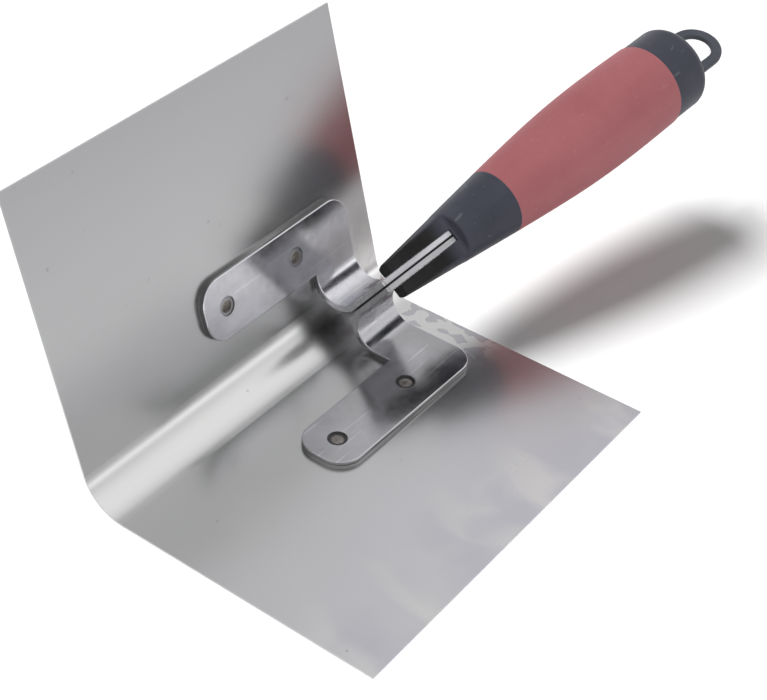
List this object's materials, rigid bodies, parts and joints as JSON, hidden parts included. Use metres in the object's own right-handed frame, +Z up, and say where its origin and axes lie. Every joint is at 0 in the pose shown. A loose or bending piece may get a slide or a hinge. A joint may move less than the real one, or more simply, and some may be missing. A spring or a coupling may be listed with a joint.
{
  "type": "inside corner trowel",
  "caption": "Inside corner plastering trowel: sheet-steel blade folded along a rounded corner, riveted bracket halves, round soft-grip handle and hang loop.",
  "frame": {"origin": "centre of the flat part of the lower wing's outer, working face", "axes": "+X along the corner line from the front end towards the handle, -Z out of the lower wing's working face, +Z up, the second wing standing on the +Y side"},
  "size_m": [0.2487, 0.1172, 0.0918],
  "materials": {
    "blade_steel": "satin stainless sheet",
    "bracket_steel": "polished, lightly scratched",
    "rivet_steel": "dull, with darkened rims",
    "pin_steel": "plain, hidden inside the handle",
    "core_plastic": "matt charcoal",
    "grip_rubber": "matt muted red soft skin",
    "cap_plastic": "matt charcoal",
    "loop_plastic": "matt grey"
  },
  "bodies": {
    "root": {"blade": "blade_steel", "bracket_low": "bracket_steel", "bracket_high": "bracket_steel", "rivet_low_front": "rivet_steel", "rivet_low_rear": "rivet_steel", "rivet_high_front": "rivet_steel", "rivet_high_rear": "rivet_steel", "tang_pin_front": "pin_steel", "tang_pin_rear": "pin_steel", "handle_core": "core_plastic", "grip_sleeve": "grip_rubber", "end_cap": "cap_plastic", "hang_loop": "loop_plastic"}
  },
  "joints": []
}
